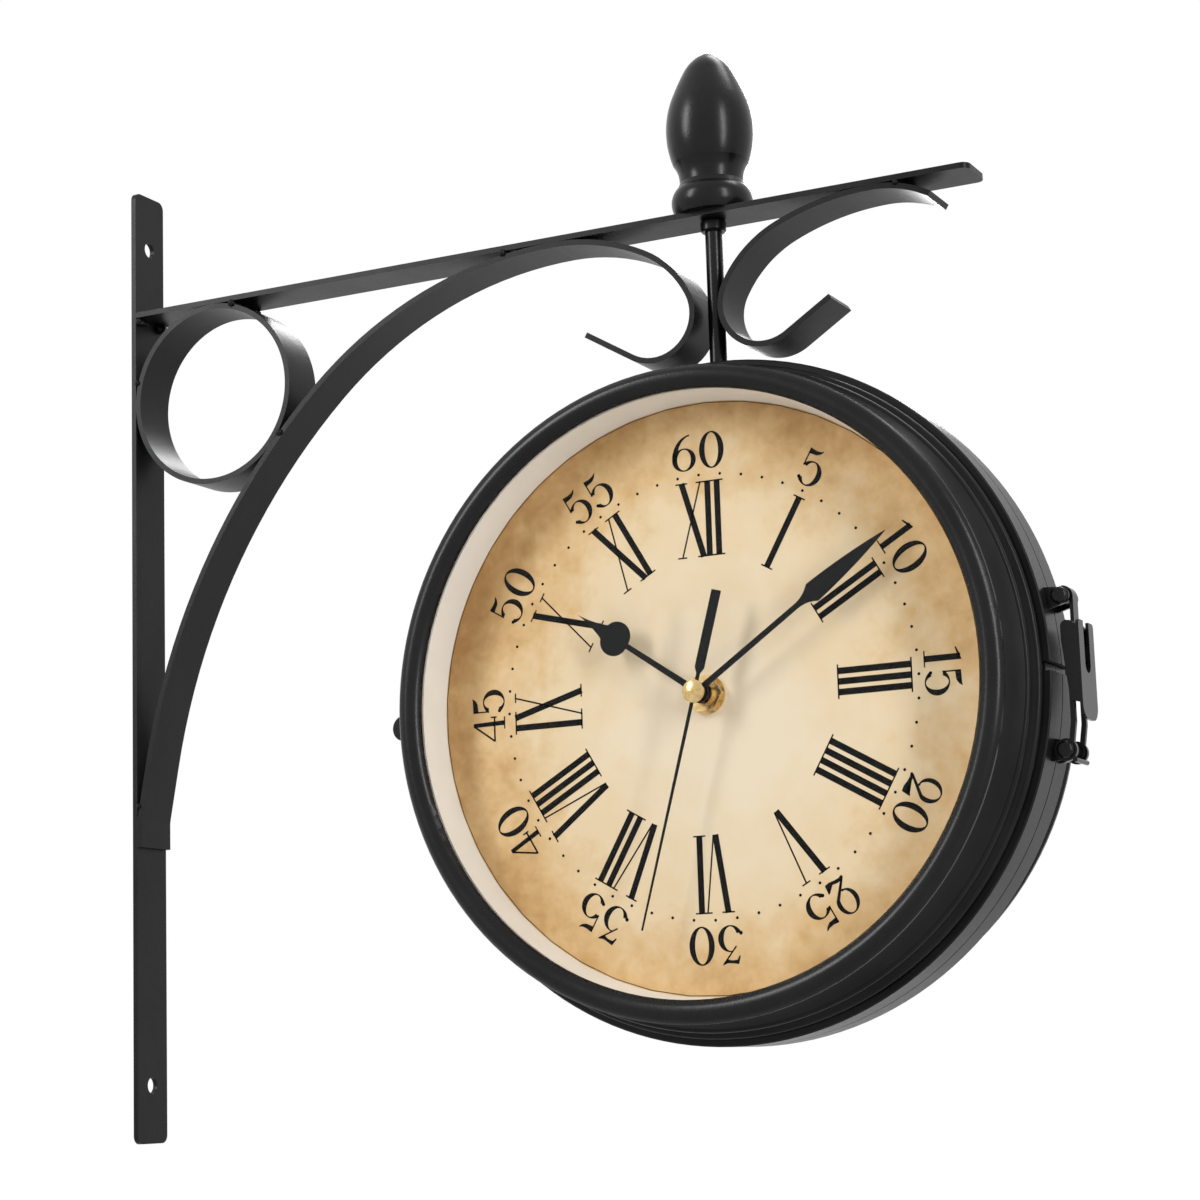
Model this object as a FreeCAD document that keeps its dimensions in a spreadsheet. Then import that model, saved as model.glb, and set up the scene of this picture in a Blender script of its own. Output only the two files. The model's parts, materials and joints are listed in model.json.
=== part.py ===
import FreeCAD, Part
import math
import os
import re
import Sketcher

# Double sided station clock on a wall bracket.
# The origin is midway between the two screw holes, on the back face of the wall bar.
# +X points away from the wall, -Y towards the front dial and +Z up. Sizes are in millimetres.

SIZES = {
    # flat steel strip of the bracket
    "strip_width": 18, "strip_gauge": 2, "strip_corner": 3,
    "wall_bar_length": 360, "screw_margin": 21, "screw_hole": 6,
    "bar_underside": 130, "bar_overhang": 96,
    # brace and left curl, bent from one strip that touches the bar at its apex
    "brace_apex_reach": 58.5, "brace_foot_height": -63.2, "brace_run": 20.3,
    "brace_sweep_one": 41.5, "brace_sweep_two": 37.5, "brace_foot_bend": 14, "brace_foot_flat": 9,
    "curl_bend_one": 76.6, "curl_sweep_one": 28.3,
    "curl_bend_two": 37.8, "curl_sweep_two": 36.7,
    "curl_bend_three": 16.3, "curl_sweep_three": 146.2, "curl_tail": 20.7,
    # right scroll
    "scroll_apex_reach": 61.6,
    "scroll_bend_one": 91.2, "scroll_sweep_one": 22.7,
    "scroll_bend_two": 40.8, "scroll_sweep_two": 38.8,
    "scroll_bend_three": 16.6, "scroll_sweep_three": 150.6, "scroll_tail": 19.3,
    "scroll_end_bend": 41, "scroll_end_sweep": 31,
    # weld beads: how deep each lies in its wedge, and how far from where the pieces meet
    "weld_radius": 2, "weld_length": 14, "weld_depth": 0.9, "weld_reach": 9,
    "apex_weld_reach": 20, "foot_weld_rise": 6.2, "ring_weld_turn": 8.7,
    # hanging rod and finial
    "rod_reach": 240, "rod_radius": 3, "rod_chamfer": 0.5, "rod_thread": 30, "running_gap": 0.05,
    "finial_height": 59.2, "foot_radius": 12.6, "foot_top_radius": 11.9, "foot_height": 9.8,
    "waist_radius": 11.1, "waist_low": 11.6, "waist_high": 12.8, "bowl_radius": 13.2, "bowl_low": 18.8,
    "bowl_high": 41.8, "crown_radius": 8.6, "crown_height": 51.8, "tip_radius": 1.2,
    "collar_wall": 1.5, "collar_height": 4, "collar_play": 0.1, "edge_break": 0.5,
    "lock_nut_flats": 10, "lock_nut_height": 5, "saddle_radius": 9, "saddle_gauge": 1.5, "saddle_gap": 0.09,
    # case: radii step inwards from the rim, distances from the seam follow from the dial
    "hang_length": 53, "seam_gap": 0.2, "rim_radius": 112.8, "shell_gauge": 1.1, "notch_gap": 0.3,
    "neck_step": 1.6, "bead_gauge": 1.4, "bead_b_gap": 0.6, "groove_step": 2.2, "groove_width": 2.8,
    "groove_slope": 0.7, "bead_a_rise": 0.3, "bead_a_width": 2.6, "bead_a_drop": 0.2,
    "cove_step": 5.8, "cove_sweep": 40, "mouth_gauge": 1, "mouth_lip": 1.4,
    "bezel_gap": 1.2, "bezel_web": 1.2, "bezel_rise": 0.8, "bezel_width": 8, "bezel_sweep": 125,
    "skirt_gauge": 1.2, "skirt_depth": 8.2, "glass_gap": 0.1, "glass_lap": 0.9, "glass_gauge": 2.2,
    "reflector_gauge": 0.6, "reflector_taper": 1.9, "dial_margin": 5, "dial_gauge": 1, "dial_ring_gauge": 1.2,
    # clamp band around the seam, with its hinge
    "band_gap": 0.5, "band_gauge": 1.7, "lip_gap": 0.4, "lip_gauge": 0.75, "lip_clearance": 0.25,
    "band_groove": 0.6, "band_end_gap": 1.5, "hinge_stand": 6.5, "knuckle_radius": 4.5,
    "hinge_pin_radius": 1.5, "knuckle_half": 3.8, "knuckle_gap": 0.3, "web_reach": 13, "web_sink": 1,
    # over-centre latch opposite the hinge: heights from the band's parting line, stands from the band
    "catch_height": 23, "catch_stand": 4.4, "anchor_height": 26.5, "anchor_stand": 4.6,
    "lever_height": 12.5, "lever_stand": 5.25, "latch_pin_radius": 2, "pin_head_step": 0.8, "pin_head": 1.7,
    "lug_wall": 1, "lug_gauge": 1.2, "lug_reach": 4, "lug_end": 0.1, "catch_half": 4, "anchor_half": 3,
    "foot_clearance": 0.07,
    "lever_throw": 8, "lever_depth": 3, "lever_gauge": 1, "lever_top": 2, "lever_end": 29.5,
    "lever_half_width": 8, "lever_corner": 5, "lever_top_corner": 1.5, "tab_half": 1.7,
    "tab_flare": 0.7,
    "slot_half_width": 2.9, "slot_depth": 14.5, "pivot_radius": 1,
    "link_half_width": 2.6, "link_gauge": 1.2, "hook_gap": 0.35,
    "wire_radius": 0.8, "wire_gap": 0.6, "wire_bend": 9, "wire_foot": 2.4, "wire_bow": 2,
    "anchor_eye_wall": 1.6, "lever_eye_wall": 1.1, "cross_bar_out": 2.8, "cross_bar_down": 3.3,
    # quartz movement behind each dial
    "battery_radius": 7.05, "battery_half": 25, "battery_button": 0.5, "battery_play": 0.3, "bay_gap": 0.4,
    "bay_floor": 1.1, "bay_wall": 2.1, "bay_foot": 3.55, "movement_corner": 4, "back_space": 3.5,
    "contact_gauge": 0.5, "contact_half": 4.5, "knob_z": 15, "knob_radius": 6, "knob_height": 2.4,
    "knob_edge": 0.4, "knob_gap": 0.1, "knob_stem": 3, "spindle_gap": 0.4, "spindle_depth": 4,
    "bush_radius": 4, "bush_length": 6, "washer_radius": 6.6, "washer_gauge": 0.6,
    "hub_nut_flats": 11.5, "hub_nut_height": 2.5,
    # hands
    "hour_tube_radius": 2.5, "minute_tube_radius": 1.5, "second_shaft_radius": 0.6, "tube_depth": 3,
    "hand_gauge": 0.5, "hand_clearance": 1.2, "minute_step": 1.9, "second_step": 1.7, "hand_space": 13.7,
    "collar_low": 0.7, "collar_high": 0.9, "hour_collar": 0.9, "minute_collar": 1.4, "second_collar": 1.2,
    "hour_clock_angle": 304.8, "hour_length": 59, "hour_blob_reach": 37, "hour_blob": 5.6, "hour_waist": 2.6,
    "hour_root_half": 1.1, "stem_half": 0.9, "minute_root_half": 1,
    "minute_clock_angle": 56, "minute_length": 82.5, "minute_wide_reach": 51, "minute_wide_half": 3.5,
    "minute_shoulder": 7, "second_clock_angle": 195.9, "second_length": 79.8, "second_tail": 34,
    "tail_half": 1.65, "tail_root": 8, "tail_taper": 2, "needle_half": 0.6, "needle_tip_half": 0.25,
    "cap_radius": 3.8, "cap_height": 2, "cap_wall": 1,
}

# Sizes that follow from the ones above, because one piece fits, meets or lines up with another.
FITS = {
    "screw_height": "wall_bar_length / 2 - screw_margin",
    "bar_end": "rod_reach + bar_overhang",
    # The brace's two large bends bring its foot flat against the wall bar, at the foot's height.
    "brace_reach": "rod_reach - brace_apex_reach - strip_gauge",
    "brace_turn": "brace_sweep_one + brace_sweep_two",
    "bends_across": "brace_reach - brace_run * cos(brace_turn) - brace_foot_bend * (1 - sin(brace_turn))",
    "bends_down": ("bar_underside - brace_foot_height - brace_run * sin(brace_turn)"
                   " - brace_foot_bend * cos(brace_turn)"),
    "one_across": "sin(brace_sweep_one)",
    "one_down": "1 - cos(brace_sweep_one)",
    "two_across": "sin(brace_turn) - sin(brace_sweep_one)",
    "two_down": "cos(brace_sweep_one) - cos(brace_turn)",
    "bends_scale": "one_across * two_down - one_down * two_across",
    "brace_bend_one": "(bends_across * two_down - bends_down * two_across) / bends_scale",
    "brace_bend_two": "(bends_down * one_across - bends_across * one_down) / bends_scale",
    # The ring touches the wall bar, the top bar and the brace's second bend.
    "bend_across": "brace_reach - (brace_bend_one - brace_bend_two) * sin(brace_sweep_one)",
    "bend_down": "brace_bend_one - (brace_bend_one - brace_bend_two) * cos(brace_sweep_one)",
    "ring_sum": "bend_across + bend_down + brace_bend_two",
    "ring_radius": "ring_sum - sqrt(ring_sum^2 - bend_across^2 - bend_down^2 + brace_bend_two^2)",
    "ring_x": "strip_gauge + ring_radius",
    "ring_z": "bar_underside - ring_radius",
    "touch_x": "(bend_across - ring_radius) / (brace_bend_two + ring_radius)",
    "touch_z": "-(bend_down - ring_radius) / (brace_bend_two + ring_radius)",
    # case radii
    "neck_radius": "rim_radius - neck_step",
    "groove_radius": "neck_radius - groove_step",
    "bead_a_radius": "groove_radius + bead_a_rise",
    "cove_radius": "groove_radius - cove_step",
    "shell_bore": "groove_radius - shell_gauge",
    "skirt_radius": "cove_radius - mouth_gauge",
    "glass_radius": "skirt_radius - skirt_gauge - glass_gap",
    "bezel_opening": "glass_radius - glass_lap",
    "bezel_radius": "bezel_opening + bezel_width",
    "reflector_radius": "glass_radius - reflector_taper",
    "band_radius": "rim_radius + band_gap + band_gauge",
    "lip_radius": "neck_radius + lip_gap",
    "hinge_reach": "band_radius + hinge_stand",
    "head_height": "bar_underside - hang_length - band_radius",
    "saddle_top": "head_height + sqrt((rim_radius - shell_gauge)^2 - saddle_radius^2) - saddle_gap",
    # distances from the seam
    "movement_half": "battery_half + contact_gauge + bay_gap + bay_wall",
    "movement_depth": "2 * (battery_radius + bay_gap) + bay_floor",
    "dial_back": "back_space + movement_depth",
    "dial_front": "dial_back + dial_gauge",
    "bead_a_front": "dial_front - bead_a_drop",
    "bead_a_back": "bead_a_front - bead_a_width",
    "bead_b_front": "bead_a_back - groove_width",
    "band_half_width": "bead_b_front - 2 * bead_gauge - bead_b_gap",
    "lip_back": "band_half_width - lip_gauge",
    "rim_depth": "lip_back - lip_clearance",
    "bezel_seat": "dial_front + hand_space + glass_gauge",
    "glass_back": "bezel_seat - glass_gauge",
    "bezel_back": "bezel_seat - bezel_web",
    "bezel_edge": "bezel_seat + bezel_rise",
    "mouth_front": "bezel_back - bezel_gap",
    "cove_front": "mouth_front - mouth_lip",
    "battery_z": "battery_radius + bay_gap + bay_foot - movement_half",
    "battery_y": "back_space + battery_radius + battery_play",
    # latch
    "catch_x": "sqrt((band_radius + catch_stand)^2 - catch_height^2)",
    "anchor_x": "sqrt((band_radius + anchor_stand)^2 - anchor_height^2)",
    "lever_x": "sqrt((band_radius + lever_stand)^2 - lever_height^2)",
    "lug_radius": "latch_pin_radius + lug_wall",
    "pin_head_radius": "latch_pin_radius + pin_head_step",
    "wire_inner": "anchor_half + lug_gauge + wire_gap",
    "wire_outer": "wire_inner + 2 * wire_radius",
    # hands
    "hour_lift": "bush_length - dial_gauge + hand_clearance",
    "minute_lift": "hour_lift + minute_step",
    "second_lift": "minute_lift + second_step",
    "cap_back": "dial_front + second_lift + hand_gauge",
}

doc = FreeCAD.newDocument("StationClock")
sheet = doc.addObject("Spreadsheet::Sheet", "Sizes")
for row, (alias, size) in enumerate(SIZES.items(), start=1):
    sheet.set(f"A{row}", alias)
    sheet.set(f"B{row}", str(size))
    sheet.setAlias(f"B{row}", alias)
doc.recompute()
fits = doc.addObject("App::VarSet", "Fits")

SUB_PARTS = []
BRACKET = ("wall_bar", "top_bar", "bracket_ring", "main_brace", "end_scroll")
ZERO = ("0", "0", "0")
HEAD = ("rod_reach", "0", "head_height")
ORIGIN_POINT = -1
VERTICAL_AXIS = -2
START, END, CENTRE = 1, 2, 3


def bound(text):
    """Write every size name in the text as a reference to its cell or to its fit."""
    def reference(word):
        if word[0] in SIZES:
            return "Sizes." + word[0]
        return "Fits." + word[0] if word[0] in FITS else word[0]
    return re.sub(r"[a-z_]+", reference, text)


def value(text):
    return float(sheet.evalExpression(bound(text)))


def make_fits():
    for name, formula in FITS.items():
        fits.addProperty("App::PropertyFloat", name)
        fits.setExpression(name, bound(formula))
    doc.recompute()


def place(item, at, turn="0", axis=(0, 0, 1)):
    item.Placement = FreeCAD.Placement(
        FreeCAD.Vector(*[value(size) for size in at]),
        FreeCAD.Rotation(FreeCAD.Vector(*axis), value(turn)))
    for direction, size in zip("xyz", at):
        item.setExpression(f"Placement.Base.{direction}", bound(size))


def new_body(label, at=ZERO, turn="0", axis=(0, 0, 1)):
    body = doc.addObject("PartDesign::Body", label)
    body.Label = label
    place(body, at, turn, axis)
    SUB_PARTS.append(body)
    return body


def new_sketch(body, name, plane, offset=("0", "0", "0")):
    """A sketch on one of the body's own planes, shifted by an offset in the plane's own directions."""
    sketch = body.newObject("Sketcher::SketchObject", f"{body.Name}_{name}")
    support = [origin for origin in body.Origin.OriginFeatures if origin.Role == plane][0]
    sketch.AttachmentSupport = [(support, "")]
    sketch.MapMode = "FlatFace"
    for direction, size in zip("xyz", offset):
        sketch.setExpression(f"AttachmentOffset.Base.{direction}", bound(size))
    return sketch


def constrain(sketch, kind, *references, size=None):
    """Add a constraint, bound to the sheet when it has a size."""
    if size is None:
        sketch.addConstraint(Sketcher.Constraint(kind, *references))
        return
    number = math.radians(value(size)) if kind == "Angle" else value(size)
    index = sketch.addConstraint(Sketcher.Constraint(kind, *references, number))
    sketch.setExpression(f"Constraints[{index}]", bound(size))


def pin_point(sketch, edge, point, x, y):
    constrain(sketch, "DistanceX", ORIGIN_POINT, 1, edge, point, size=x)
    constrain(sketch, "DistanceY", ORIGIN_POINT, 1, edge, point, size=y)


def arc_between(start, end, sweep):
    """The arc from start to end that turns by sweep degrees, to the left when positive."""
    chord = end - start
    half = math.radians(abs(sweep)) / 2
    across = FreeCAD.Vector(-chord.y, chord.x, 0) * math.copysign(1, sweep)
    centre = (start + end) / 2 + across * (0.5 / math.tan(half))
    first, last = (start, end) if sweep > 0 else (end, start)
    radius = (start - centre).Length
    angles = [math.atan2(point.y - centre.y, point.x - centre.x) for point in (first, last)]
    circle = Part.Circle(centre, FreeCAD.Vector(0, 0, 1), radius)
    return Part.ArcOfCircle(circle, angles[0], angles[1])


def outline(sketch, corners):
    """A closed outline. A corner is (x, y), or (x, y, sweep) where an arc runs to the next corner."""
    spots = [FreeCAD.Vector(value(corner[0]), value(corner[1]), 0) for corner in corners]
    edges = []
    for index, corner in enumerate(corners):
        start, end = spots[index], spots[(index + 1) % len(spots)]
        if len(corner) == 2:
            edges.append((sketch.addGeometry(Part.LineSegment(start, end), False), START, END))
            continue
        sweep = value(corner[2])
        edge = sketch.addGeometry(arc_between(start, end, sweep), False)
        constrain(sketch, "Angle", edge, size=f"abs({corner[2]})")
        edges.append((edge, START, END) if sweep > 0 else (edge, END, START))
    for index, (edge, first, last) in enumerate(edges):
        next_edge, next_first, _ = edges[(index + 1) % len(edges)]
        constrain(sketch, "Coincident", edge, last, next_edge, next_first)
        pin_point(sketch, edge, first, corners[index][0], corners[index][1])


def circle(sketch, x, y, radius):
    centre = FreeCAD.Vector(value(x), value(y), 0)
    edge = sketch.addGeometry(Part.Circle(centre, FreeCAD.Vector(0, 0, 1), value(radius)), False)
    pin_point(sketch, edge, CENTRE, x, y)
    constrain(sketch, "Radius", edge, size=radius)


def rectangle(sketch, left, low, right, high):
    outline(sketch, [(left, low), (right, low), (right, high), (left, high)])


def rounded(sketch, left, low, right, high, corner):
    """A rectangle with quarter-round corners."""
    outline(sketch, [
        (f"{left} + {corner}", low), (f"{right} - {corner}", low, "90"),
        (right, f"{low} + {corner}"), (right, f"{high} - {corner}", "90"),
        (f"{right} - {corner}", high), (f"{left} + {corner}", high, "90"),
        (left, f"{high} - {corner}"), (left, f"{low} + {corner}", "90")])


def extrude(body, kind, sketch, length, midplane=False, reverse=False):
    feature = body.newObject(f"PartDesign::{kind}", f"{sketch.Name}_{kind}")
    feature.Profile = sketch
    if hasattr(feature, "SideType"):
        feature.SideType = "Symmetric" if midplane else "One side"
    else:
        feature.Midplane = midplane
    feature.Reversed = reverse
    feature.setExpression("Length", bound(length))
    return feature


def revolve(body, sketch, axis="V_Axis", kind="Revolution"):
    feature = body.newObject(f"PartDesign::{kind}", f"{sketch.Name}_{kind}")
    feature.Profile = sketch
    feature.ReferenceAxis = (sketch, [axis])
    feature.Angle = 360
    return feature


def turned(label, plane, corners, at=HEAD, turn="0"):
    """A turned piece: an outline of (radius, height) corners revolved about the plane's upright."""
    body = new_body(label, at, turn)
    sketch = new_sketch(body, "profile", plane)
    outline(sketch, corners)
    revolve(body, sketch)
    return body


def drill(body, plane, spots, radius, length):
    """Round holes through the body, on both sides of one of its planes."""
    sketch = new_sketch(body, f"holes_{len(body.Group)}", plane)
    for x, y in spots:
        circle(sketch, x, y, radius)
    return extrude(body, "Pocket", sketch, length, midplane=True)


def hexagon(sketch, flats):
    corners = []
    for index in range(6):
        corners.append((f"{flats} / sqrt(3) * cos({60 * index})", f"{flats} / sqrt(3) * sin({60 * index})"))
    outline(sketch, corners)


def bend_path(body, name, steps):
    """A path of tangent arcs and straights that leaves the origin along the horizontal.

    A step is (radius, sweep, turn) for an arc or (length,) for a straight. The first step is an arc.
    turn is 1 to the left and -1 to the right; the first direction is -X for 1 and +X for -1.
    """
    sketch = new_sketch(body, name, "XZ_Plane")
    spot = FreeCAD.Vector(0, 0, 0)
    heading = math.pi if steps[0][2] > 0 else 0.0
    previous = None
    for step in steps:
        ahead = FreeCAD.Vector(math.cos(heading), math.sin(heading), 0)
        left = FreeCAD.Vector(-ahead.y, ahead.x, 0)
        if len(step) == 1:
            goal = spot + ahead * value(step[0])
            edge = (sketch.addGeometry(Part.LineSegment(spot, goal), False), START, END)
            constrain(sketch, "Distance", edge[0], size=step[0])
        else:
            radius, sweep, turn = value(step[0]), math.radians(value(step[1])), step[2]
            centre = spot + left * radius * turn
            from_angle = math.atan2(spot.y - centre.y, spot.x - centre.x)
            to_angle = from_angle + sweep * turn
            goal = centre + FreeCAD.Vector(math.cos(to_angle), math.sin(to_angle), 0) * radius
            low, high = sorted((from_angle, to_angle))
            arc = Part.ArcOfCircle(Part.Circle(centre, FreeCAD.Vector(0, 0, 1), radius), low, high)
            ends = (START, END) if turn > 0 else (END, START)
            edge = (sketch.addGeometry(arc, False), *ends)
            constrain(sketch, "Radius", edge[0], size=step[0])
            constrain(sketch, "Angle", edge[0], size=step[1])
            heading += sweep * turn
        if previous is None:
            constrain(sketch, "Coincident", edge[0], edge[1], ORIGIN_POINT, 1)
            constrain(sketch, "PointOnObject", edge[0], CENTRE, VERTICAL_AXIS)
        else:
            constrain(sketch, "Tangent", previous[0], previous[2], edge[0], edge[1])
        previous = edge
        spot = goal
    return sketch


def strip_along(body, name, steps):
    """Sweep the strip's section along a path, with the path on the strip's outer face."""
    path = bend_path(body, f"{name}_path", steps)
    section = new_sketch(body, f"{name}_section", "YZ_Plane")
    rectangle(section, "-strip_width / 2", "-strip_gauge", "strip_width / 2", "0")
    doc.recompute()
    pipe = body.newObject("PartDesign::AdditivePipe", f"{body.Name}_{name}")
    pipe.Profile = section
    pipe.Spine = (path, [f"Edge{index + 1}" for index in range(len(steps))])
    return pipe


# ---------------------------------------------------------------- bracket

def make_wall_bar():
    body = new_body("wall_bar")
    sketch = new_sketch(body, "face", "YZ_Plane")
    rounded(sketch, "-strip_width / 2", "-wall_bar_length / 2", "strip_width / 2",
            "wall_bar_length / 2", "strip_corner")
    circle(sketch, "0", "screw_height", "screw_hole / 2")
    circle(sketch, "0", "-screw_height", "screw_hole / 2")
    extrude(body, "Pad", sketch, "strip_gauge")


def make_top_bar():
    body = new_body("top_bar", ("0", "0", "bar_underside"))
    sketch = new_sketch(body, "face", "XY_Plane")
    half = "strip_width / 2"
    outline(sketch, [
        ("strip_gauge", f"-{half}"), ("bar_end - strip_corner", f"-{half}", "90"),
        ("bar_end", f"-{half} + strip_corner"), ("bar_end", f"{half} - strip_corner", "90"),
        ("bar_end - strip_corner", half), ("strip_gauge", half)])
    circle(sketch, "rod_reach", "0", "rod_radius + running_gap")
    extrude(body, "Pad", sketch, "strip_gauge")


def make_ring():
    body = new_body("bracket_ring", ("ring_x", "0", "ring_z"))
    sketch = new_sketch(body, "circles", "XZ_Plane")
    circle(sketch, "0", "0", "ring_radius")
    circle(sketch, "0", "0", "ring_radius - strip_gauge")
    extrude(body, "Pad", sketch, "strip_width", midplane=True)


def make_main_brace():
    """The long brace down to the wall and the left curl, one strip bent both ways from its apex."""
    body = new_body("main_brace", ("rod_reach - brace_apex_reach", "0", "bar_underside"))
    strip_along(body, "brace", [
        ("brace_bend_one", "brace_sweep_one", 1), ("brace_bend_two", "brace_sweep_two", 1),
        ("brace_run",), ("brace_foot_bend", "90 - brace_turn", 1), ("brace_foot_flat",)])
    strip_along(body, "curl", [
        ("curl_bend_one", "curl_sweep_one", -1), ("curl_bend_two", "curl_sweep_two", -1),
        ("curl_bend_three", "curl_sweep_three", -1), ("curl_tail",)])


def make_end_scroll():
    """The right scroll curls towards the rod; its other end bends down from the bar."""
    body = new_body("end_scroll", ("rod_reach + scroll_apex_reach", "0", "bar_underside"))
    strip_along(body, "curl", [
        ("scroll_bend_one", "scroll_sweep_one", 1), ("scroll_bend_two", "scroll_sweep_two", 1),
        ("scroll_bend_three", "scroll_sweep_three", 1), ("scroll_tail",)])
    strip_along(body, "end", [("scroll_end_bend", "scroll_end_sweep", -1)])


# ---------------------------------------------------------------- rod and finial

def make_rod():
    """The rod hangs from the finial and ends below its lock nut, inside the case."""
    low = "saddle_top - saddle_gauge - lock_nut_height - rod_radius"
    high = "bar_underside + strip_gauge + rod_thread"
    end_radius = "rod_radius - rod_chamfer"
    turned("hanging_rod", "XZ_Plane", [
        ("0", low), (end_radius, low), ("rod_radius", f"{low} + rod_chamfer"),
        ("rod_radius", f"{high} - rod_chamfer"), (end_radius, high), ("0", high)], at=("rod_reach", "0", "0"))


def make_finial():
    """An acorn finial: a rounded foot, a narrow waist, a full bowl and a pointed crown."""
    turned("finial", "XZ_Plane", [
        ("rod_radius", "0"), ("foot_radius", "0", "85"), ("foot_top_radius", "foot_height"),
        ("waist_radius", "waist_low"), ("waist_radius", "waist_high", "-35"),
        ("bowl_radius", "bowl_low", "40"), ("bowl_radius", "bowl_high", "7.5"),
        ("crown_radius", "crown_height", "38"), ("tip_radius", "finial_height - tip_radius / 4"),
        ("0", "finial_height"), ("0", "rod_thread"), ("rod_radius", "rod_thread")],
        at=("rod_reach", "0", "bar_underside + strip_gauge"))


def make_collar():
    """A stop ring on the rod, just under the bar."""
    outer = "(rod_radius + collar_wall)"
    turned("rod_collar", "XZ_Plane", [
        ("rod_radius", "-collar_height"), (f"{outer} - edge_break", "-collar_height"),
        (outer, "edge_break - collar_height"), (outer, "-collar_play - edge_break"),
        (f"{outer} - edge_break", "-collar_play"), ("rod_radius", "-collar_play")],
        at=("rod_reach", "0", "bar_underside"))


def make_rod_saddle():
    """A washer under the shells' rims that carries the case on the lock nut."""
    turned("rod_saddle", "XZ_Plane", [
        ("rod_radius", "-saddle_gauge"), ("saddle_radius", "-saddle_gauge"),
        ("saddle_radius", "0"), ("rod_radius", "0")], at=("rod_reach", "0", "saddle_top"))


def make_lock_nut():
    body = new_body("rod_lock_nut", ("rod_reach", "0", "saddle_top - saddle_gauge - lock_nut_height"))
    sketch = new_sketch(body, "hexagon", "XY_Plane")
    hexagon(sketch, "lock_nut_flats")
    circle(sketch, "0", "0", "rod_radius")
    extrude(body, "Pad", sketch, "lock_nut_height")


# ---------------------------------------------------------------- case

def make_shell(side, turn):
    """A spun half case: rim under the band, two beads, and a hollow cove to the bezel."""
    body = turned(f"{side}_shell", "XY_Plane", [
        ("rim_radius - shell_gauge", "-seam_gap"), ("rim_radius", "-seam_gap"),
        ("rim_radius", "-rim_depth"), ("neck_radius", "-rim_depth"),
        ("neck_radius", "2 * bead_gauge - bead_b_front", "-180"),
        ("neck_radius", "-bead_b_front"),
        ("groove_radius", "-bead_b_front - groove_slope"), ("groove_radius", "-bead_a_back"),
        ("bead_a_radius", "-bead_a_back", "-180"), ("bead_a_radius", "-bead_a_front"),
        ("bead_a_radius - bead_a_drop / 2", "-bead_a_front - bead_a_drop / 2", "cove_sweep"),
        ("cove_radius", "-cove_front"), ("cove_radius", "-mouth_front"),
        ("skirt_radius", "-mouth_front"),
        ("skirt_radius", "mouth_gauge / 2 - cove_front", "-cove_sweep"),
        ("shell_bore", "-bead_a_front"),
        ("shell_bore", "groove_slope / 2 - bead_b_front"),
        ("neck_radius - shell_gauge", "shell_gauge - bead_b_front"),
        ("neck_radius - shell_gauge", "shell_gauge / 2 - rim_depth"),
        ("rim_radius - shell_gauge", "shell_gauge - rim_depth")], turn=turn)
    notch = new_sketch(body, "rod_notch", "XY_Plane")
    circle(notch, "0", "0", "rod_radius + notch_gap")
    extrude(body, "Pocket", notch, "2 * rim_radius", reverse=True)


def make_bezel(side, turn):
    """A rounded ring that holds the glass, with a skirt that slides into the shell's mouth."""
    turned(f"{side}_bezel", "XY_Plane", [
        ("bezel_opening", "-bezel_seat"), ("bezel_opening", "-bezel_edge", "bezel_sweep"),
        ("bezel_radius", "-bezel_edge"), ("bezel_radius", "-bezel_back - bezel_rise"),
        ("bezel_radius - bezel_rise", "-bezel_back"), ("skirt_radius", "-bezel_back"),
        ("skirt_radius", "skirt_depth - bezel_back"),
        ("skirt_radius - skirt_gauge", "skirt_depth - bezel_back"),
        ("skirt_radius - skirt_gauge", "-bezel_seat")], turn=turn)


def make_glass(side, turn):
    turned(f"{side}_glass", "XY_Plane", [
        ("0", "-glass_back"), ("0", "-bezel_seat"),
        ("glass_radius", "-bezel_seat"), ("glass_radius", "-glass_back")], turn=turn)


def make_reflector(side, turn):
    """The pale inner wall between the glass and the dial."""
    turned(f"{side}_reflector", "XY_Plane", [
        ("reflector_radius", "-dial_front"), ("glass_radius - reflector_gauge", "-glass_back"),
        ("glass_radius", "-glass_back"), ("glass_radius", "-dial_front")], turn=turn)


def make_dial(side, turn):
    body = new_body(f"{side}_dial", HEAD, turn)
    sketch = new_sketch(body, "disc", "XZ_Plane", ("0", "0", "dial_back"))
    circle(sketch, "0", "0", "reflector_radius + dial_margin")
    circle(sketch, "0", "0", "bush_radius + 2 * running_gap")
    extrude(body, "Pad", sketch, "dial_gauge")


def make_dial_ring(side, turn):
    """The ring inside the shell that the dial and its reflector are pressed against."""
    turned(f"{side}_dial_ring", "XY_Plane", [
        ("reflector_radius", "-dial_back"), ("shell_bore", "-dial_back"),
        ("shell_bore", "dial_ring_gauge - dial_back"),
        ("reflector_radius", "dial_ring_gauge - dial_back")], turn=turn)


# ---------------------------------------------------------------- clamp band, hinge and latch

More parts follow.
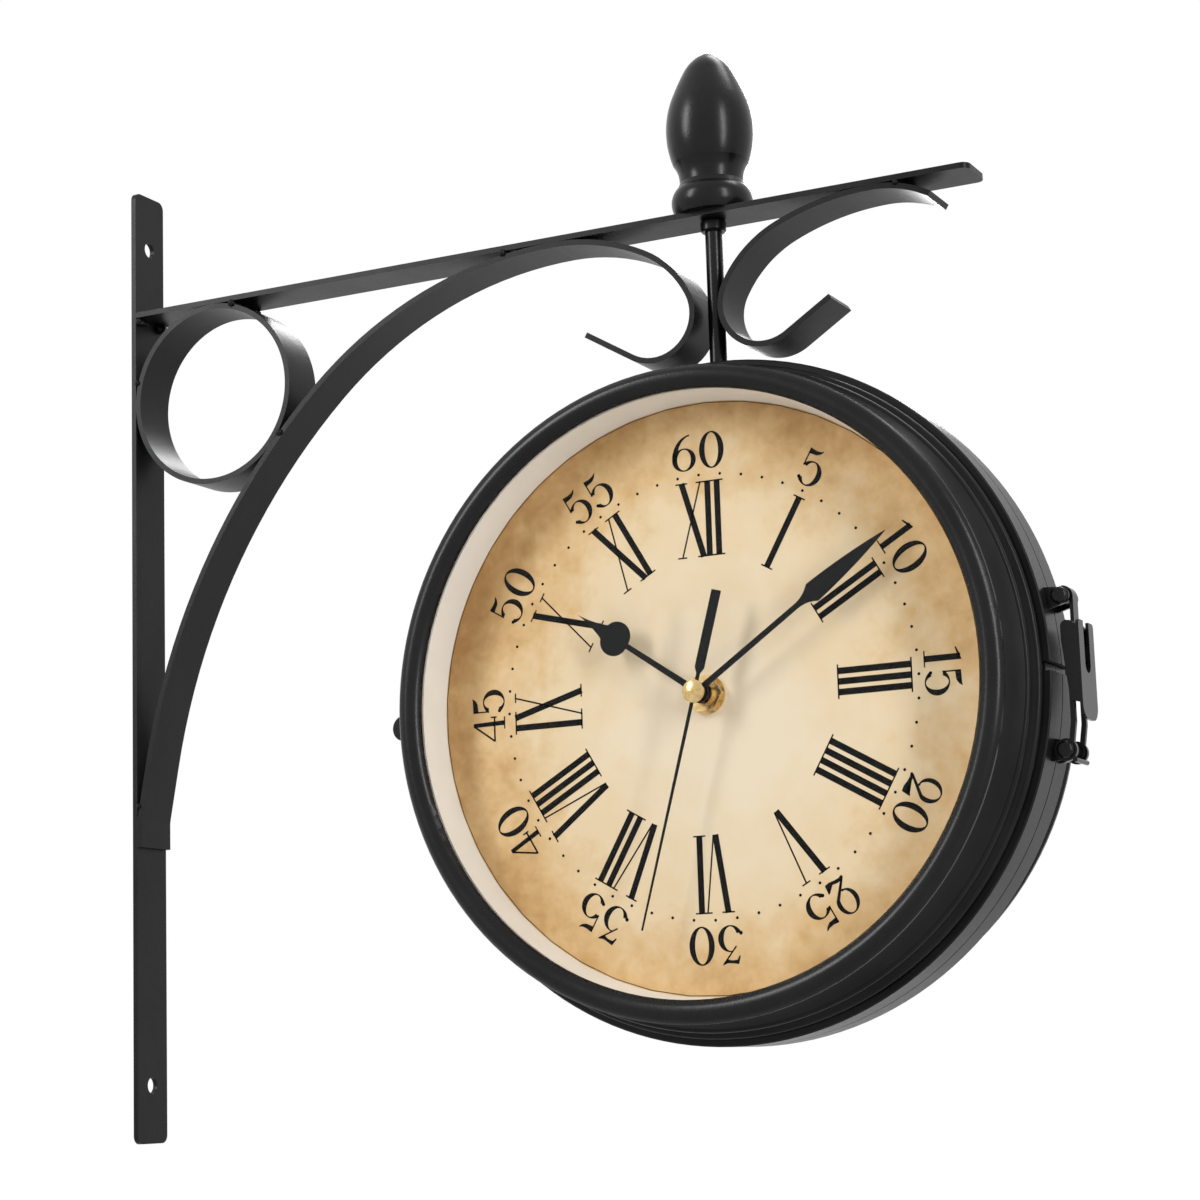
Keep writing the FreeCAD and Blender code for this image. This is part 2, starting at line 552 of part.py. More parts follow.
def band_half(label, up):
    """Half of the clamp band: up is 1 for the upper half and -1 for the lower one."""
    edge, inside, groove = "band_half_width", "(band_radius - band_gauge)", "(band_groove / 2)"
    body = turned(label, "XY_Plane", [
        (inside, "-lip_back"), ("lip_radius", "-lip_back"),
        ("lip_radius", f"-{edge}"), ("band_radius - edge_break", f"-{edge}"),
        ("band_radius", f"edge_break - {edge}"), ("band_radius", f"-{groove}"),
        ("band_radius - band_groove", f"-{groove}"), ("band_radius - band_groove", groove),
        ("band_radius", groove), ("band_radius", f"{edge} - edge_break"),
        ("band_radius - edge_break", edge), ("lip_radius", edge), ("lip_radius", "lip_back"),
        (inside, "lip_back")])
    cut = new_sketch(body, "other_half", "XZ_Plane")
    low, high = ("-2 * band_radius", "band_end_gap") if up > 0 else ("-band_end_gap", "2 * band_radius")
    rectangle(cut, "-2 * band_radius", low, "2 * band_radius", high)
    extrude(body, "Pocket", cut, "4 * band_half_width", midplane=True)
    return body


def paired_sketches(body, name, inner, outer):
    """Two sketches that face each other across the middle; each is padded from inner to outer."""
    for side, offset in (("front", inner), ("back", f"-({outer})")):
        yield new_sketch(body, f"{name}_{side}", "XZ_Plane", ("0", "0", offset))


def plates(body, name, corners, inner, outer):
    """Two equal plates, one on each side of the middle, between the inner and outer distances."""
    for sketch in paired_sketches(body, name, inner, outer):
        outline(sketch, corners)
        extrude(body, "Pad", sketch, f"{outer} - ({inner})")


def discs(body, name, x, z, radius, inner, outer):
    """Two equal discs, one on each side of the middle, between the inner and outer distances."""
    for sketch in paired_sketches(body, name, inner, outer):
        circle(sketch, x, z, radius)
        extrude(body, "Pad", sketch, f"{outer} - ({inner})")


def make_lugs(label, x, z, up, inner):
    """Two cheeks that stand on the band and carry a latch pin at (x, z)."""
    body = new_body(label, HEAD)
    low, high = ("-60", "110") if up > 0 else ("60", "-110")
    foot = "(band_radius + foot_clearance)"
    near, far = f"{z} - {up} * lug_reach", f"{z} + {up} * (lug_radius + lug_end)"
    plates(body, "cheek", [
        (f"sqrt({foot}^2 - ({near})^2)", near),
        (f"{x} + lug_radius * cos({low})", f"{z} + lug_radius * sin({low})", str(170 * up)),
        (f"{x} + lug_radius * cos({high})", f"{z} + lug_radius * sin({high})"),
        (f"sqrt({foot}^2 - ({far})^2)", far)],
        inner, f"{inner} + lug_gauge")
    drill(body, "XZ_Plane", [(x, z)], "latch_pin_radius", "2 * band_half_width")


def knuckle_web(up):
    """The web that ties a hinge knuckle to the outside of the band."""
    return [
        ("-hinge_reach", f"{up} * knuckle_radius"), ("-hinge_reach", f"{up} * knuckle_gap"),
        ("web_sink - band_radius", f"{up} * (band_end_gap + knuckle_gap / 3)"),
        ("web_sink - band_radius", f"{up} * web_reach")]


def make_upper_band():
    body = band_half("upper_band", 1)
    inner = "(knuckle_half + knuckle_gap)"
    plates(body, "web", knuckle_web(1), inner, "band_half_width")
    discs(body, "knuckle", "-hinge_reach", "0", "knuckle_radius", inner, "band_half_width")
    drill(body, "XZ_Plane", [("-hinge_reach", "0")], "hinge_pin_radius", "4 * band_half_width")
    rod_hole = new_sketch(body, "rod_hole", "XY_Plane")
    circle(rod_hole, "0", "0", "rod_radius")
    extrude(body, "Pocket", rod_hole, "2 * band_radius", reverse=True)


def make_lower_band():
    body = band_half("lower_band", -1)
    web = new_sketch(body, "web", "XZ_Plane")
    outline(web, knuckle_web(-1)[::-1])
    extrude(body, "Pad", web, "2 * knuckle_half", midplane=True)
    knuckle = new_sketch(body, "knuckle", "XZ_Plane")
    circle(knuckle, "-hinge_reach", "0", "knuckle_radius")
    extrude(body, "Pad", knuckle, "2 * knuckle_half", midplane=True)
    drill(body, "XZ_Plane", [("-hinge_reach", "0")], "hinge_pin_radius + running_gap", "4 * band_half_width")


def plain_pin(label, x, z, radius, half):
    """A plain pin along Y."""
    body = new_body(label, (f"rod_reach + {x}", "0", f"head_height + {z}"))
    sketch = new_sketch(body, "profile", "XY_Plane")
    rectangle(sketch, "0", f"-({half})", radius, half)
    revolve(body, sketch)


def headed_pin(label, x, z, half):
    """A latch pin along Y, with a rounded head at each end."""
    body = new_body(label, (f"rod_reach + {x}", "0", f"head_height + {z}"))
    sketch = new_sketch(body, "profile", "XY_Plane")
    end, edge, dome = f"({half} + pin_head)", f"({half} + pin_head / 3)", "pin_head_radius - pin_head / 2"
    outline(sketch, [
        ("0", f"-{end}"), (dome, f"-{end}", "60"), ("pin_head_radius", f"-{edge}"),
        ("pin_head_radius", f"-({half})"), ("latch_pin_radius", f"-({half})"), ("latch_pin_radius", half),
        ("pin_head_radius", half), ("pin_head_radius", edge, "60"), (dome, end), ("0", end)])
    revolve(body, sketch)


def make_latch_wire():
    """A bail whose eyes turn on the anchor pin and whose upper eyes carry the lever."""
    body = new_body("latch_wire", ("rod_reach + anchor_x", "0", "head_height - anchor_height"))
    top_x, top_z = "(lever_x - anchor_x)", "(lever_height + anchor_height)"
    eye_foot = f"{top_z} - pivot_radius - lever_eye_wall / 2"
    plates(body, "leg", [
        (f"{top_x} - wire_radius", eye_foot), (f"{top_x} - wire_radius", "wire_bend"),
        ("wire_bow - wire_radius", "wire_foot"), ("wire_bow + wire_radius", "wire_foot - wire_radius / 2"),
        (f"{top_x} + wire_radius", "wire_bend - wire_radius / 2"), (f"{top_x} + wire_radius", eye_foot)],
        "wire_inner", "wire_outer")
    for name, x, z, bore, wall in (
            ("anchor_eye", "0", "0", "latch_pin_radius + running_gap", "anchor_eye_wall"),
            ("lever_eye", top_x, top_z, "pivot_radius + running_gap", "lever_eye_wall")):
        discs(body, name, x, z, f"{bore} + {wall}", "wire_inner", "wire_outer")
        drill(body, "XZ_Plane", [(x, z)], bore, "4 * wire_outer")
    bar = new_sketch(body, "cross_bar", "XZ_Plane")
    circle(bar, "cross_bar_out", "-cross_bar_down", "wire_radius")
    extrude(body, "Pad", bar, "2 * wire_outer", midplane=True)


def make_latch_lever():
    """A channel with a slot for the link; its pivot studs sit in the wire's upper eyes."""
    body = new_body("latch_lever", ("rod_reach + lever_x", "0", "head_height + lever_height"))
    web = new_sketch(body, "web", "YZ_Plane", ("0", "0", "lever_depth"))
    side, end, slot = "lever_half_width", "lever_end", "slot_half_width"
    corner, top_corner, low_top = "lever_corner", "lever_top_corner", "lever_top - lever_top_corner"
    outline(web, [
        (f"{corner} - {side}", f"-{end}"), (f"{side} - {corner}", f"-{end}", "90"),
        (side, f"{corner} - {end}"), (side, low_top, "90"),
        (f"{side} - {top_corner}", "lever_top"), (slot, "lever_top"),
        (slot, f"{slot} - slot_depth", "-180"), (f"-{slot}", f"{slot} - slot_depth"),
        (f"-{slot}", "lever_top"), (f"{top_corner} - {side}", "lever_top", "90"),
        (f"-{side}", low_top), (f"-{side}", f"{corner} - {end}", "90")])
    extrude(body, "Pad", web, "lever_gauge")
    behind, face = "lever_depth", "lever_depth + lever_gauge / 5"
    plates(body, "flange", [
        ("-2 * pivot_radius", "-lever_throw / 2"), ("0", f"{corner} + lever_gauge - {end}"),
        (face, f"{corner} - {end}"), (face, low_top), ("0", "lever_top", "90"),
        ("-2 * pivot_radius", "lever_top - 2 * pivot_radius")], f"{side} - lever_gauge", side)
    plates(body, "tab", [
        ("-tab_half", "tab_half - lever_gauge - lever_throw"),
        ("-tab_half", "lever_gauge - tab_half - lever_throw", "90"),
        ("lever_gauge - tab_half", "-tab_half - lever_throw"),
        (face, "-tab_half - tab_flare - lever_throw"), (face, "tab_half + tab_flare - lever_throw"),
        ("lever_gauge - tab_half", "tab_half - lever_throw", "90")], slot, f"{slot} + lever_gauge")
    drill(body, "XZ_Plane", [("0", "-lever_throw")], "pivot_radius", "2 * wire_outer")
    discs(body, "stud", "0", "0", "pivot_radius",
          "(wire_inner - 2 * running_gap)", "(lever_half_width - lever_gauge / 5)")


def make_latch_link():
    """A link from the lever's inner pivot up to a hook that lies over the catch pin."""
    body = new_body("latch_link", ("rod_reach + lever_x", "0", "head_height + lever_height - lever_throw"))
    pin_x, pin_z = "(catch_x - lever_x)", "(catch_height - lever_height + lever_throw)"
    inner = "(latch_pin_radius + hook_gap)"
    outer = "(latch_pin_radius + hook_gap + link_gauge)"
    hook = new_sketch(body, "hook", "XZ_Plane")
    outline(hook, [
        (f"{pin_x} + {outer}", "0"), (f"{pin_x} + {outer}", pin_z, "90"),
        (pin_x, f"{pin_z} + {outer}"), (pin_x, f"{pin_z} + {inner}", "-90"),
        (f"{pin_x} + {inner}", pin_z), (f"{pin_x} + {inner}", "0")])
    extrude(body, "Pad", hook, "2 * link_half_width", midplane=True)
    eye = new_sketch(body, "eye", "XZ_Plane")
    circle(eye, "0", "0", "pivot_radius + link_gauge")
    extrude(body, "Pad", eye, "2 * link_half_width", midplane=True)
    drill(body, "XZ_Plane", [("0", "0")], "pivot_radius + running_gap", "2 * wire_outer")


# ---------------------------------------------------------------- movements and hands

def make_movement(side, turn):
    """A plastic quartz movement with a battery bay in its back."""
    body = new_body(f"{side}_movement", HEAD, turn)
    case = new_sketch(body, "case", "XZ_Plane", ("0", "0", "back_space"))
    rounded(case, "-movement_half", "-movement_half", "movement_half", "movement_half", "movement_corner")
    extrude(body, "Pad", case, "movement_depth")
    bay = new_sketch(body, "battery_bay", "XZ_Plane", ("0", "0", "back_space"))
    across = "(battery_radius + bay_gap)"
    along = "(battery_half + contact_gauge + bay_gap)"
    rectangle(bay, f"-{along}", f"battery_z - {across}", along, f"battery_z + {across}")
    extrude(body, "Pocket", bay, f"2 * {across}", reverse=True)
    arbor = new_sketch(body, "knob_hole", "XZ_Plane", ("0", "0", "back_space"))
    circle(arbor, "0", "knob_z", "pivot_radius + running_gap")
    extrude(body, "Pocket", arbor, "knob_stem + pivot_radius", reverse=True)
    spindle = new_sketch(body, "spindle_hole", "XZ_Plane", ("0", "0", "dial_back"))
    circle(spindle, "0", "0", "hour_tube_radius + spindle_gap")
    extrude(body, "Pocket", spindle, "spindle_depth")


def make_battery(side, turn):
    body = new_body(f"{side}_battery", HEAD, turn)
    sketch = new_sketch(body, "cell", "YZ_Plane")
    circle(sketch, "-battery_y", "battery_z", "battery_radius")
    extrude(body, "Pad", sketch, "2 * (battery_half - battery_button)", midplane=True)
    button = new_sketch(body, "button", "YZ_Plane", ("0", "0", "battery_half - battery_button"))
    circle(button, "-battery_y", "battery_z", "battery_radius / 3")
    extrude(body, "Pad", button, "battery_button")


def make_contacts(side, turn):
    body = new_body(f"{side}_battery_contacts", HEAD, turn)
    near = "(battery_half + 2 * running_gap)"
    for name, offset in (("plus", near), ("minus", f"-({near} + contact_gauge)")):
        sketch = new_sketch(body, f"plate_{name}", "YZ_Plane", ("0", "0", offset))
        rectangle(sketch, "-battery_y - contact_half", "battery_z - contact_half",
                  "contact_half - battery_y", "battery_z + contact_half")
        extrude(body, "Pad", sketch, "contact_gauge")


def make_set_knob(side, turn):
    """The hand-setting wheel on the movement's back."""
    height = "-back_space" if turn == "0" else "back_space"
    body = turned(f"{side}_set_knob", "XY_Plane", [
        ("0", "-knob_stem"), ("pivot_radius", "-knob_stem"), ("pivot_radius", "knob_gap"),
        ("knob_radius - knob_edge", "knob_gap"), ("knob_radius", "knob_gap + knob_edge"),
        ("knob_radius", "knob_height - knob_edge"), ("knob_radius - knob_edge", "knob_height"),
        ("0", "knob_height")], at=("rod_reach", height, "head_height + knob_z"), turn=turn)
    notch = new_sketch(body, "grip_notch", "XZ_Plane")
    circle(notch, "knob_radius + knob_edge", "0", "2 * knob_edge")
    cut = extrude(body, "Pocket", notch, "2 * knob_height", midplane=True)
    ring = body.newObject("PartDesign::PolarPattern", f"{body.Name}_grip")
    ring.Originals = [cut]
    ring.Axis = (notch, ["N_Axis"])
    ring.Angle = 360
    ring.Occurrences = 12
    body.Tip = ring


def make_hub(side, turn):
    """The threaded bush through the dial, with its washer and nut."""
    bore = "hour_tube_radius + running_gap"
    turned(f"{side}_hub_bush", "XY_Plane", [
        (bore, "-dial_back"), ("bush_radius", "-dial_back"),
        ("bush_radius", "-dial_back - bush_length"), (bore, "-dial_back - bush_length")], turn=turn)
    turned(f"{side}_hub_washer", "XY_Plane", [
        ("bush_radius", "-dial_front"), ("washer_radius", "-dial_front"),
        ("washer_radius", "-dial_front - washer_gauge"),
        ("bush_radius", "-dial_front - washer_gauge")], turn=turn)
    body = new_body(f"{side}_hub_nut", HEAD, turn)
    nut = new_sketch(body, "hexagon", "XZ_Plane", ("0", "0", "dial_front + washer_gauge"))
    hexagon(nut, "hub_nut_flats")
    circle(nut, "0", "0", "bush_radius")
    extrude(body, "Pad", nut, "hub_nut_height")


def hand(name, side, turn, lift, tube, hollow, collar):
    """A hand's tube and collar, with the sketch for its blade at the hand's lift above the dial."""
    tube_end = "tube_depth - dial_back"
    low, high = f"collar_low - dial_front - {lift}", f"-dial_front - {lift}"
    body = turned(f"{side}_{name}_hand", "XY_Plane", [
        (hollow, tube_end), (tube, tube_end), (tube, low), (collar, low),
        (collar, f"{high} - collar_high"), (hollow, f"{high} - collar_high")], turn=turn)
    return body, new_sketch(body, "blade", "XZ_Plane", ("0", "0", f"dial_front + {lift}"))


def along(clock_angle, reach, across="0", sweep=None):
    """An outline corner at a distance along a hand and a distance to its right."""
    corner = (f"({reach}) * sin({clock_angle}) + ({across}) * cos({clock_angle})",
              f"({reach}) * cos({clock_angle}) - ({across}) * sin({clock_angle})")
    return corner if sweep is None else (*corner, sweep)


def make_hour_hand(side, turn):
    """A spade hand: stem, round blob with a waist on each side, and a leaf-shaped tip."""
    body, blade = hand("hour", side, turn, "hour_lift", "hour_tube_radius",
                       "minute_tube_radius + running_gap", "hour_tube_radius + hour_collar")
    angle, root = "hour_clock_angle", "hour_tube_radius + hour_collar / 2"
    low, high = "hour_blob_reach - hour_blob", "hour_blob_reach + 0.75 * hour_blob"
    outline(blade, [
        along(angle, root, "hour_root_half"), along(angle, root, "-hour_root_half"),
        along(angle, low, "-stem_half", "-160"), along(angle, high, "-hour_waist", "25"),
        along(angle, "hour_length", sweep="25"), along(angle, high, "hour_waist", "-160"),
        along(angle, low, "stem_half")])
    extrude(body, "Pad", blade, "hand_gauge")


def make_minute_hand(side, turn):
    """A long leaf: a stem that widens to its shoulders and tapers to the tip."""
    body, blade = hand("minute", side, turn, "minute_lift", "minute_tube_radius",
                       "second_shaft_radius + running_gap", "minute_tube_radius + minute_collar")
    angle, root = "minute_clock_angle", "minute_tube_radius + minute_collar * 2 / 3"
    wide, shoulder = "minute_wide_reach", "minute_wide_reach - minute_shoulder"
    outline(blade, [
        along(angle, root, "minute_root_half"), along(angle, root, "-minute_root_half"),
        along(angle, shoulder, "-stem_half", "40"), along(angle, wide, "-minute_wide_half", "-8"),
        along(angle, "minute_length", sweep="-8"), along(angle, wide, "minute_wide_half", "40"),
        along(angle, shoulder, "stem_half")])
    extrude(body, "Pad", blade, "hand_gauge")


def make_second_hand(side, turn):
    """A needle with a broad counterweight bar on its tail, and the domed cap over the hub."""
    tube_end = "tube_depth - dial_back"
    low, collar = "collar_low / 3 - dial_front - second_lift", "second_collar"
    body = turned(f"{side}_second_hand", "XY_Plane", [
        ("0", tube_end), ("second_shaft_radius", tube_end), ("second_shaft_radius", low),
        (f"second_shaft_radius + {collar}", low), (f"second_shaft_radius + {collar}", "-cap_back"),
        ("0", "-cap_back")], turn=turn)
    angle = "second_clock_angle"
    blade = new_sketch(body, "blade", "XZ_Plane", ("0", "0", "dial_front + second_lift"))
    outline(blade, [
        along(angle, "-second_tail", "-tail_half"), along(angle, "-tail_root", "-tail_half"),
        along(angle, "tail_taper - tail_root", "-needle_half"),
        along(angle, "second_length", "-needle_tip_half"), along(angle, "second_length", "needle_tip_half"),
        along(angle, "tail_taper - tail_root", "needle_half"),
        along(angle, "-tail_root", "tail_half"), along(angle, "-second_tail", "tail_half")])
    extrude(body, "Pad", blade, "hand_gauge")
    turned(f"{side}_hand_cap", "XY_Plane", [
        ("0", "-cap_back"), ("cap_radius", "-cap_back"), ("cap_radius", "-cap_back - cap_wall", "-28"),
        ("0", "-cap_back - cap_height")], turn=turn)


# ---------------------------------------------------------------- weld beads

def make_weld_beads():
    """Short beads across the strip, each a rod laid in a wedge and trimmed by the pieces it joins."""
    out = "(ring_radius + weld_depth)"
    turn = "ring_weld_turn"
    spots = {
        "bar": ("strip_gauge + weld_radius / 2", "bar_underside - weld_radius / 2"),
        "ring_wall": ("strip_gauge + weld_depth", "ring_z + weld_reach"),
        "ring_bar": ("ring_x + weld_reach", "bar_underside - weld_depth"),
        "ring_brace": (f"ring_x + {out} * (touch_x * cos({turn}) - touch_z * sin({turn}))",
                       f"ring_z + {out} * (touch_x * sin({turn}) + touch_z * cos({turn}))"),
        "brace": ("rod_reach - brace_apex_reach - apex_weld_reach", "bar_underside - weld_depth"),
        "scroll": ("rod_reach + scroll_apex_reach + weld_reach", "bar_underside - weld_depth * 2 / 3"),
        "foot": ("strip_gauge + weld_depth", "brace_foot_height + foot_weld_rise"),
    }
    rods = []
    for name, (x, z) in spots.items():
        rod = doc.addObject("Part::Cylinder", f"bead_{name}")
        rod.setExpression("Radius", bound("weld_radius"))
        rod.setExpression("Height", bound("weld_length"))
        place(rod, (x, "weld_length / 2", z), "90", (1, 0, 0))
        rods.append(rod)
    beads = doc.addObject("Part::MultiFuse", "untrimmed_beads")
    beads.Shapes = rods
    strips = doc.addObject("Part::MultiFuse", "joined_strips")
    strips.Shapes = [piece for piece in SUB_PARTS if piece.Label in BRACKET]
    trimmed = doc.addObject("Part::Cut", "weld_beads")
    trimmed.Base = beads
    trimmed.Tool = strips
    trimmed.Label = "weld_beads"
    SUB_PARTS.append(trimmed)


def export_all():
    doc.recompute()
    for item in doc.Objects:
        if "Invalid" in item.State or "Error" in item.State:
            raise RuntimeError(f"{item.Name} did not build: {item.State}")
    os.makedirs("parts", exist_ok=True)
    for item in SUB_PARTS:
        shape = item.Shape
        if shape.isNull() or not shape.isValid():
            raise RuntimeError(f"{item.Label} has no valid shape")
        shape.exportStep(os.path.join("parts", item.Label + ".step"))


make_fits()
make_wall_bar()
make_top_bar()
make_ring()
make_main_brace()
make_end_scroll()
make_weld_beads()
make_rod()
make_finial()
make_collar()
make_rod_saddle()
make_lock_nut()
make_upper_band()
make_lower_band()
make_lugs("catch_lugs", "catch_x", "catch_height", 1, "catch_half")
make_lugs("anchor_lugs", "anchor_x", "(-anchor_height)", -1, "anchor_half")
plain_pin("band_hinge_pin", "-hinge_reach", "0", "hinge_pin_radius", "band_half_width")
headed_pin("latch_catch_pin", "catch_x", "catch_height", "catch_half + lug_gauge + 2 * running_gap")
headed_pin("latch_anchor_pin", "anchor_x", "(-anchor_height)", "wire_outer + 4 * running_gap")
make_latch_wire()
make_latch_lever()
plain_pin("latch_lever_pin", "lever_x", "lever_height - lever_throw", "pivot_radius",
          "slot_half_width + lever_gauge")
make_latch_link()
for clock_side, half_turn in (("front", "0"), ("rear", "180")):
    for make_piece in (make_shell, make_bezel, make_glass, make_reflector, make_dial, make_dial_ring,
                       make_movement, make_battery, make_contacts, make_set_knob, make_hub,
                       make_hour_hand, make_minute_hand, make_second_hand):
        make_piece(clock_side, half_turn)
export_all()
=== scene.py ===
import json
import math
import random

import bmesh
import bpy
from mathutils import Matrix, Vector


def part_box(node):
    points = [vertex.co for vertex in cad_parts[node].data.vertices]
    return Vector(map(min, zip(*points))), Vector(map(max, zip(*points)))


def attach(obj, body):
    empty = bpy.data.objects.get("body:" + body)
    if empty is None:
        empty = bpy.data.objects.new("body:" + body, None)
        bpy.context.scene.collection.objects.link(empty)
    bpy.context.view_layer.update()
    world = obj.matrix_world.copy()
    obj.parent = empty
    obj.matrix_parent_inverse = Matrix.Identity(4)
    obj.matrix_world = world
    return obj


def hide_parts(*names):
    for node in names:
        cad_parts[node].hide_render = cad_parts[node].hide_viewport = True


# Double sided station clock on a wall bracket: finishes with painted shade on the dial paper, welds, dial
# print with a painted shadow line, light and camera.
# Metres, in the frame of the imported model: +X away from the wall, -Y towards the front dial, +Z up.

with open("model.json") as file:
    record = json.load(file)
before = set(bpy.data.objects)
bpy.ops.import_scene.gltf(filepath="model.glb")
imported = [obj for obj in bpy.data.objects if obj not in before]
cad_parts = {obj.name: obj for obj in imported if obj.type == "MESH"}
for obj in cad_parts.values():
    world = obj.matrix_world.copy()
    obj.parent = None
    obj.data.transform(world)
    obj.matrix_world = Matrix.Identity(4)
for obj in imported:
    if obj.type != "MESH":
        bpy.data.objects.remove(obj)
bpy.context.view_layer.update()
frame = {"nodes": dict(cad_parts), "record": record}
NODES = frame["nodes"]

MM = 0.001
SIDES = {"front": 1, "rear": -1}

# The middle of the clock, and where the printed face of the front dial lies along Y.
dial_low, dial_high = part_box("front_dial")
CENTRE = (dial_low + dial_high) / 2
CENTRE.y = 0
DIAL_FACE = dial_low.y


def put_object(name, data):
    piece = bpy.data.objects.new(name, data)
    bpy.context.scene.collection.objects.link(piece)
    return piece


def put_mesh(name, mesh, material):
    """An object from a finished bmesh, all in one material."""
    data = bpy.data.meshes.new(name)
    mesh.to_mesh(data)
    mesh.free()
    data.materials.append(material)
    return put_object(name, data)


# ---------------------------------------------------------------- materials

NOISE_RANGE = (0.3, 0.7)
PEEL_SIZE = 0.0009
PEEL_DEPTH = 0.00003
GRAIN_DEPTH = 0.00002
RINGS_PER_METRE = 900

# The paper is palest at this spot and brownest at this distance from it. The brown is partly the dial's own
# aged tone and partly painted shade of the bezel. The spot sits below the middle and away from the wall, so
# the upper left of the front dial carries the most painted shade.
PALE_SPOT = CENTRE + Vector((0.008, 0, -0.008))
BROWN_AND_SHADE_REACH = 0.133
# Size, detail and weight of each layer of blotches, and the weight of the paper's fibres.
BLOTCHES = ((0.045, 3, 0.42), (0.018, 4, 0.34), (0.006, 4, 0.26))
FIBRE_WEIGHT = 0.05
# Cream to deep brown: the darkest tones hold painted shade as well as the paper's own brown.
PAPER_TONES = [
    (0.18, (0.93, 0.79, 0.575)), (0.47, (0.89, 0.70, 0.44)), (0.62, (0.79, 0.54, 0.265)),
    (0.75, (0.62, 0.375, 0.15)), (0.88, (0.44, 0.235, 0.078)),
]


class Finish:
    """One procedural material. Sizes of patterns are in metres on the object."""

    def __init__(self, name, **sockets):
        self.material = bpy.data.materials.new(name)
        self.material.use_nodes = True
        self.tree = self.material.node_tree
        self.shader = self.tree.nodes["Principled BSDF"]
        self.place = self.node("ShaderNodeTexCoord").outputs["Object"]
        for socket, setting in sockets.items():
            self.shader.inputs[socket.replace("_", " ")].default_value = setting

    def node(self, kind, settings=None, inputs=None):
        """A node with its settings, each input linked to a socket or set to a plain value."""
        node = self.tree.nodes.new(kind)
        for name, setting in (settings or {}).items():
            setattr(node, name, setting)
        for name, source in (inputs or {}).items():
            if isinstance(source, bpy.types.NodeSocket):
                self.tree.links.new(source, node.inputs[name])
            else:
                node.inputs[name].default_value = source
        return node

    def into(self, socket, source):
        self.tree.links.new(source, self.shader.inputs[socket])

    def maths(self, operation, first, second):
        return self.node("ShaderNodeMath", {"operation": operation}, {0: first, 1: second}).outputs["Value"]

    def blend(self, first, share, second):
        """Two patterns in one: the first by its share, the second by the rest."""
        return self.maths("ADD", self.maths("MULTIPLY", first, share),
                          self.maths("MULTIPLY", second, 1 - share))

    def noise(self, size, detail=2.0, roughness=0.5, stretch=None):
        place = self.place
        if stretch:
            mapping = self.node("ShaderNodeMapping", None, {"Vector": place, "Scale": stretch})
            place = mapping.outputs["Vector"]
        inputs = {"Vector": place, "Scale": 1 / size, "Detail": detail, "Roughness": roughness}
        return self.node("ShaderNodeTexNoise", None, inputs).outputs["Fac"]

    def from_axis(self, centre):
        """The distance from the line through a point along Y."""
        offset = self.node("ShaderNodeVectorMath", {"operation": "SUBTRACT"}, {0: self.place, 1: centre})
        flat = self.node("ShaderNodeVectorMath", {"operation": "MULTIPLY"},
                         {0: offset.outputs["Vector"], 1: (1, 0, 1)})
        length = self.node("ShaderNodeVectorMath", {"operation": "LENGTH"}, {0: flat.outputs["Vector"]})
        return length.outputs["Value"]

    def colour(self, factor, stops):
        """The base colour, by stops of (value of the pattern, colour)."""
        node = self.node("ShaderNodeValToRGB", None, {"Fac": factor})
        elements = node.color_ramp.elements
        while len(elements) < len(stops):
            elements.new(0.5)
        for element, (position, tone) in zip(elements, stops):
            element.position = position
            element.color = (*tone, 1)
        self.into("Base Color", node.outputs["Color"])

    def gloss(self, factor, rough):
        """Roughness from the first value to the second, as a pattern rises through its usual range."""
        span = self.node("ShaderNodeMapRange", None, {
            "Value": factor, "From Min": NOISE_RANGE[0], "From Max": NOISE_RANGE[1],
            "To Min": rough[0], "To Max": rough[1]})
        self.into("Roughness", span.outputs["Result"])

    def bump(self, height, depth, strength=1.0, under=None):
        """Relief from a pattern, on top of the relief under it."""
        inputs = {"Height": height, "Distance": depth, "Strength": strength}
        if under is not None:
            inputs["Normal"] = under
        normal = self.node("ShaderNodeBump", None, inputs).outputs["Normal"]
        self.into("Normal", normal)
        return normal


def paint(name, dark, light, rough, specular, peel_depth=PEEL_DEPTH):
    """Sprayed black paint: slow changes of tone and gloss, with a fine orange peel."""
    finish = Finish(name, Specular_IOR_Level=specular)
    cloud = finish.noise(size=0.035, detail=4, roughness=0.6)
    speck = finish.noise(size=0.0016, detail=3, roughness=0.6)
    tone = finish.blend(cloud, 0.7, speck)
    finish.colour(tone, [(0.35, dark), (0.65, light)])
    finish.gloss(tone, rough)
    wave = finish.bump(finish.noise(size=0.006), peel_depth * 3, strength=0.35)
    finish.bump(finish.noise(PEEL_SIZE), peel_depth, under=wave)
    return finish.material


def spun_metal(name, dark, light, rough, specular):
    """Painted spun steel: faint rings about the clock's own axis under the paint."""
    finish = Finish(name, Specular_IOR_Level=specular)
    depth = finish.node("ShaderNodeSeparateXYZ", None, {"Vector": finish.place}).outputs["Y"]
    along = finish.maths("ADD", finish.maths("MULTIPLY", finish.from_axis(CENTRE), RINGS_PER_METRE),
                         finish.maths("MULTIPLY", depth, RINGS_PER_METRE))
    rings = finish.node("ShaderNodeTexNoise", {"noise_dimensions": "1D"},
                        {"W": along, "Scale": 1.0, "Detail": 2.0}).outputs["Fac"]
    cloud = finish.noise(size=0.04, detail=4, roughness=0.6)
    speck = finish.noise(size=0.0012)
    finish.colour(cloud, [(0.35, dark), (0.65, light)])
    finish.gloss(finish.blend(cloud, 0.6, speck), rough)
    spun = finish.bump(rings, GRAIN_DEPTH, strength=0.5)
    finish.bump(speck, GRAIN_DEPTH, strength=0.8, under=spun)
    return finish.material


